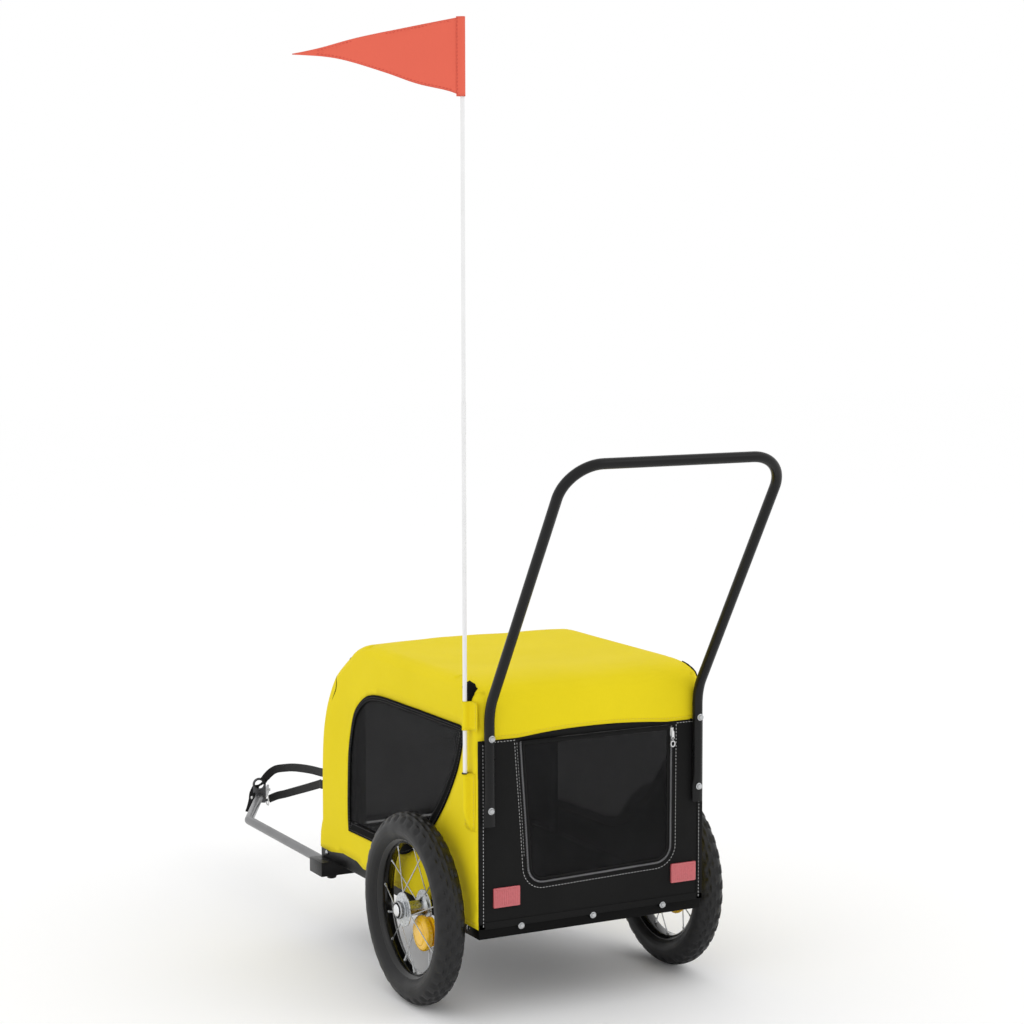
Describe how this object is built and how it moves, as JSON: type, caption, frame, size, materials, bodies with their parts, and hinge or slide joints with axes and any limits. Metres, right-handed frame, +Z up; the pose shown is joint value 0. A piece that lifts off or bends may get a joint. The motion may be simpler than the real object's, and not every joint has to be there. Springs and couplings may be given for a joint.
{
  "type": "bicycle trailer",
  "caption": "Small two-wheeled fabric bicycle trailer with mesh windows and doors, push handle, side tow arm, safety strap and flag on a pole.",
  "frame": {"origin": "on the ground under the middle of the whole object's box; the trailer's own middle plane is 89.7 mm to +X of it and the wheel axle is 312.6 mm to -Y", "axes": "+Z up, +Y the direction of travel towards the tow arm, +X the trailer's right-hand side"},
  "size_m": [0.7042, 1.4524, 1.506],
  "materials": {
    "yellow_fabric": "woven polyester, faint sheen",
    "black_fabric": "woven polyester, white topstitching",
    "zip_tape": "woven tape with moulded teeth",
    "window_mesh": "fine open mesh",
    "frame_paint": "satin black powder coat",
    "black_plastic": "moulded, matt",
    "tow_steel": "bare drawn tube, grey",
    "tyre_rubber": "moulded tread, matt",
    "rim_paint": "gloss black",
    "hub_zinc": "galvanised",
    "zinc_steel": "zinc plated",
    "amber_lens": "clear prismatic lens",
    "red_lens": "prismatic, pinkish red",
    "flag_fabric": "thin ripstop",
    "pole_white": "fibreglass rod, white",
    "floor_board": "fabric covered board",
    "webbing": "flat woven webbing",
    "white_metal": "white lacquered"
  },
  "bodies": {
    "chassis": {"base_frame": "frame_paint", "floor_panel": "floor_board", "rear_hoop": "frame_paint", "front_hoop": "frame_paint", "top_bar_left": "frame_paint", "top_bar_right": "frame_paint", "corner_joint_rear_left": "black_plastic", "corner_joint_rear_right": "black_plastic", "corner_joint_front_left": "black_plastic", "corner_joint_front_right": "black_plastic", "side_wall_left": "yellow_fabric", "side_wall_right": "yellow_fabric", "side_window_left": "window_mesh", "side_window_right": "window_mesh", "roof_cover": "yellow_fabric", "front_panel": "yellow_fabric", "front_zip": "zip_tape", "rear_panel": "black_fabric", "rear_zip": "zip_tape", "pole_holder": "yellow_fabric", "handle_bar": "frame_paint", "handle_bolt_lower_left": "zinc_steel", "handle_bolt_upper_left": "zinc_steel", "handle_bolt_lower_right": "zinc_steel", "handle_bolt_upper_right": "zinc_steel", "rail_bolt_left": "zinc_steel", "rail_bolt_middle": "zinc_steel", "rail_bolt_right": "zinc_steel", "rear_reflector_left": "red_lens", "rear_reflector_right": "red_lens", "tow_bracket": "frame_paint", "tow_pivot_bolt": "zinc_steel", "axle_left": "zinc_steel", "axle_right": "zinc_steel", "axle_spacer_left": "black_plastic", "axle_spacer_right": "black_plastic"},
    "wheel_left": {"tyre_left": "tyre_rubber", "rim_left": "rim_paint", "hub_left": "hub_zinc", "wheel_reflector_left": "amber_lens"},
    "wheel_right": {"tyre_right": "tyre_rubber", "rim_right": "rim_paint", "hub_right": "hub_zinc", "wheel_reflector_right": "amber_lens"},
    "release_left": {"release_button_left": "zinc_steel"},
    "release_right": {"release_button_right": "zinc_steel"},
    "rear_door": {"rear_door": "window_mesh"},
    "front_door": {"front_door": "window_mesh"},
    "rear_slider": {"rear_zip_slider": "zinc_steel"},
    "rear_puller": {"rear_zip_puller": "white_metal"},
    "front_slider": {"front_zip_slider": "zinc_steel"},
    "flag_pole": {"flag_pole_lower": "pole_white", "flag_pole_upper": "pole_white"},
    "flag": {"flag": "flag_fabric"},
    "tow_arm": {"tow_arm": "tow_steel", "hitch_plate": "tow_steel", "coupler_fork": "tow_steel", "safety_strap": "webbing", "strap_ring": "white_metal"},
    "hitch_pin": {"hitch_pin": "zinc_steel"}
  },
  "joints": [
    {"name": "wheel_left_spin", "type": "hinge", "parent": "chassis", "child": "wheel_left", "pos_m": [-0.14079, -0.31259, 0.15], "axis": [1, 0, 0], "continuous": true},
    {"name": "wheel_right_spin", "type": "hinge", "parent": "chassis", "child": "wheel_right", "pos_m": [0.32021, -0.31259, 0.15], "axis": [1, 0, 0], "continuous": true},
    {"name": "release_left_press", "type": "slide", "parent": "chassis", "child": "release_left", "axis": [1, 0, 0], "range_m": [0, 0.003], "stiffness_N_per_m": 300, "springref_m": -0.003},
    {"name": "release_right_press", "type": "slide", "parent": "chassis", "child": "release_right", "axis": [-1, 0, 0], "range_m": [0, 0.003], "stiffness_N_per_m": 300, "springref_m": -0.003},
    {"name": "rear_door_swing", "type": "hinge", "parent": "chassis", "child": "rear_door", "pos_m": [0.08971, -0.47059, 0.431], "axis": [-1, 0, 0], "range_deg": [0, 110]},
    {"name": "front_door_swing", "type": "hinge", "parent": "chassis", "child": "front_door", "pos_m": [0.08971, 0.08941, 0.431], "axis": [1, 0, 0], "range_deg": [0, 100]},
    {"name": "rear_zip_run", "type": "slide", "parent": "chassis", "child": "rear_slider", "axis": [0, 0, -1], "range_m": [0, 0.16]},
    {"name": "rear_pull_swing", "type": "hinge", "parent": "rear_slider", "child": "rear_puller", "pos_m": [0.23001, -0.47619, 0.423], "axis": [-1, 0, 0], "range_deg": [0, 170]},
    {"name": "front_zip_run", "type": "slide", "parent": "chassis", "child": "front_slider", "axis": [0, 0, 1], "range_m": [0, 0.09]},
    {"name": "flag_pole_lift", "type": "slide", "parent": "chassis", "child": "flag_pole", "axis": [0, 0, 1], "range_m": [0, 0.12]},
    {"name": "flag_turn", "type": "hinge", "parent": "flag_pole", "child": "flag", "pos_m": [-0.11709, -0.44559, 1.44], "axis": [0, 0, 1], "continuous": true},
    {"name": "tow_arm_fold", "type": "hinge", "parent": "chassis", "child": "tow_arm", "pos_m": [-0.10029, 0.09941, 0.1205], "axis": [0, 0, -1], "range_deg": [0, 90], "deforming": ["safety_strap"]},
    {"name": "hitch_pin_pull", "type": "slide", "parent": "tow_arm", "child": "hitch_pin", "axis": [-0.886, 0.4636, 0], "range_m": [0, 0.03]}
  ]
}
